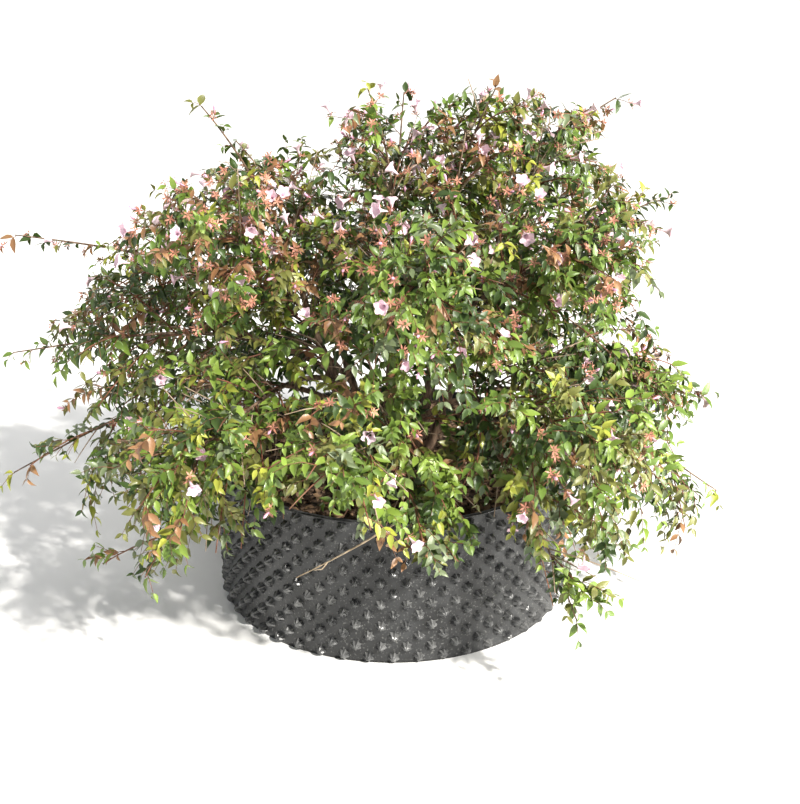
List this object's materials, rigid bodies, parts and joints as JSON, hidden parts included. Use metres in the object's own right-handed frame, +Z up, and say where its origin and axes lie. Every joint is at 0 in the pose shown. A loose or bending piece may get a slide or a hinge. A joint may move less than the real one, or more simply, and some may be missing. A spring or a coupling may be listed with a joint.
{
  "type": "potted edward goucher abelia shrub",
  "caption": "Arching flowering shrub with small glossy leaves and pale pink funnel blossoms, growing in a round dimpled nursery pot full of compost.",
  "frame": {"origin": "centre of the pot's flat underside", "axes": "+Z up along the pot's axis, -Y towards the pictured front, +X to its right"},
  "size_m": [1.4437, 1.2859, 1.0275],
  "materials": {
    "pot_plastic": "black recycled plastic sheet, half matt, dusty with use",
    "compost": "dark shredded bark compost with leaf litter",
    "bark": "grey-brown flaking bark",
    "dry_cane": "bleached dry wood of an old cane",
    "foliage_green": "mid green glossy leaves",
    "foliage_olive": "olive green glossy leaves",
    "foliage_gold": "bright yellow-green young leaves",
    "foliage_bronze": "green leaves flushed with bronze, with coppery calyces"
  },
  "bodies": {
    "root": {"pot_wall": "pot_plastic", "pot_base": "pot_plastic", "compost": "compost", "bare_cane": "dry_cane", "stem_right": "bark", "foliage_right_top": "foliage_green", "bough_right_upper": "bark", "foliage_right_upper": "foliage_bronze", "bough_right_middle": "bark", "foliage_right_middle": "foliage_green", "bough_right_low": "bark", "foliage_right_low": "foliage_green", "stem_front_right": "bark", "foliage_front_right_top": "foliage_bronze", "bough_front_right_upper": "bark", "foliage_front_right_upper": "foliage_green", "bough_front_right_middle": "bark", "foliage_front_right_middle": "foliage_olive", "bough_front_right_low": "bark", "foliage_front_right_low": "foliage_olive", "stem_front": "bark", "foliage_front_top": "foliage_olive", "bough_front_upper": "bark", "foliage_front_upper": "foliage_green", "bough_front_middle": "bark", "foliage_front_middle": "foliage_gold", "bough_front_low": "bark", "foliage_front_low": "foliage_green", "stem_front_left": "bark", "foliage_front_left_upper": "foliage_bronze", "bough_front_left_middle": "bark", "foliage_front_left_middle": "foliage_gold", "bough_front_left_low": "bark", "foliage_front_left_low": "foliage_olive", "stem_left": "bark", "foliage_left_top": "foliage_olive", "bough_left_upper": "bark", "foliage_left_upper": "foliage_bronze", "bough_left_middle": "bark", "foliage_left_middle": "foliage_green", "bough_left_low": "bark", "foliage_left_low": "foliage_olive", "stem_back_left": "bark", "foliage_back_left_upper": "foliage_green", "bough_back_left_middle": "bark", "foliage_back_left_middle": "foliage_olive", "bough_back_left_low": "bark", "foliage_back_left_low": "foliage_green", "stem_back": "bark", "foliage_back_top": "foliage_green", "bough_back_middle": "bark", "foliage_back_middle": "foliage_bronze", "stem_back_right": "bark", "foliage_back_right_upper": "foliage_olive", "bough_back_right_middle": "bark", "foliage_back_right_middle": "foliage_green", "bough_back_right_low": "bark", "foliage_back_right_low": "foliage_green"}
  },
  "joints": []
}
